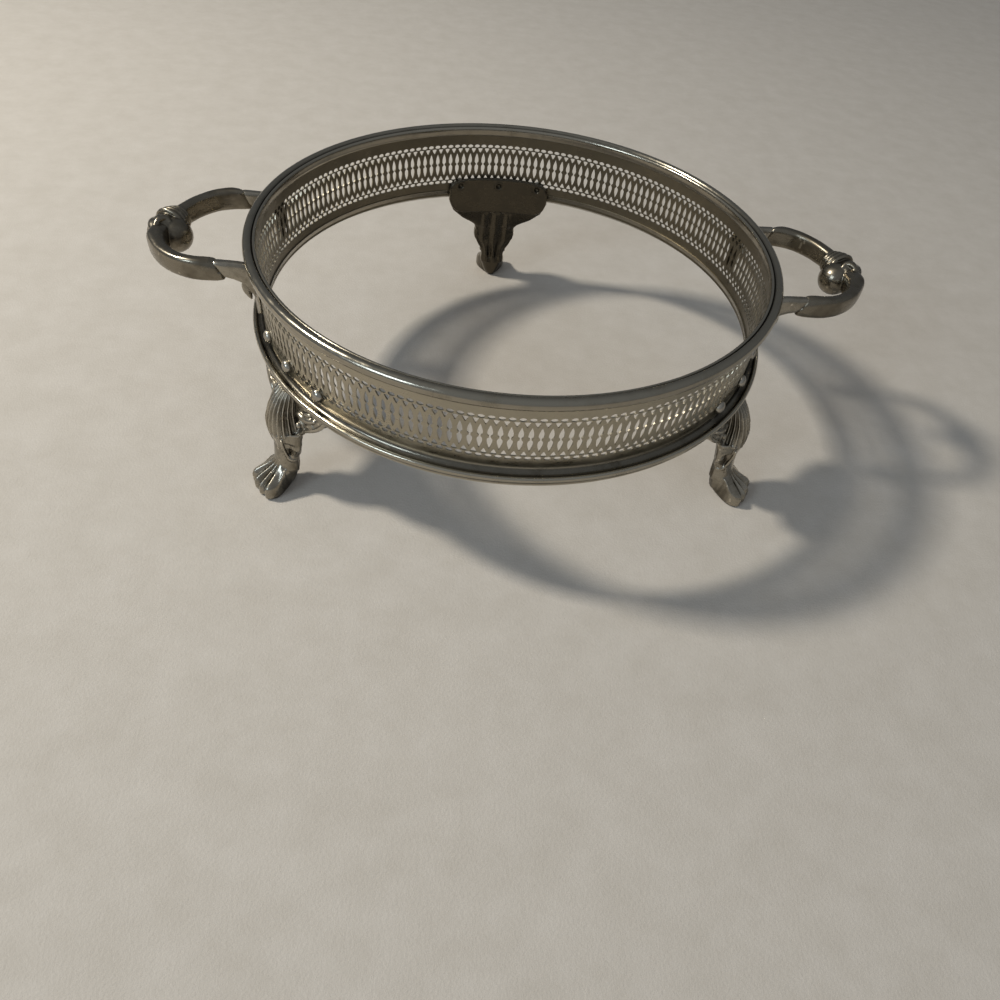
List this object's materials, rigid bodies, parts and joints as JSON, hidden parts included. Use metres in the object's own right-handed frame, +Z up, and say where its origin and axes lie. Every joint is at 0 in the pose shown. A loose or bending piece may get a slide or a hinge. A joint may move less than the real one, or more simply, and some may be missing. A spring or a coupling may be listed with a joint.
{
  "type": "casserole holder",
  "caption": "Round silver-plated casserole holder: a pierced band between two moulded rims, on paw feet, with a fixed loop handle on each side.",
  "frame": {"origin": "on the table, below the middle of the whole outline; the ring's own axis lies about 8 mm in front of it, at y = -0.0083", "axes": "+Z up, +X towards the right handle, +Y towards the back foot"},
  "size_m": [0.2998, 0.2384, 0.0875],
  "materials": {
    "band_plate": "tarnished silver plate",
    "rim_plate": "worn bright silver plate",
    "cast_plate": "tarnished silver-plated casting"
  },
  "bodies": {
    "root": {"gallery_band": "band_plate", "top_rim": "rim_plate", "bottom_rim": "rim_plate", "foot_back": "cast_plate", "foot_left": "cast_plate", "foot_right": "cast_plate", "rivet_back_1": "rim_plate", "rivet_back_2": "rim_plate", "rivet_back_3": "rim_plate", "rivet_left_1": "rim_plate", "rivet_left_2": "rim_plate", "rivet_left_3": "rim_plate", "rivet_right_1": "rim_plate", "rivet_right_2": "rim_plate", "rivet_right_3": "rim_plate", "handle_left": "band_plate", "handle_right": "band_plate", "bracket_left_front": "cast_plate", "bracket_left_back": "cast_plate", "bracket_right_front": "cast_plate", "bracket_right_back": "cast_plate"}
  },
  "joints": []
}
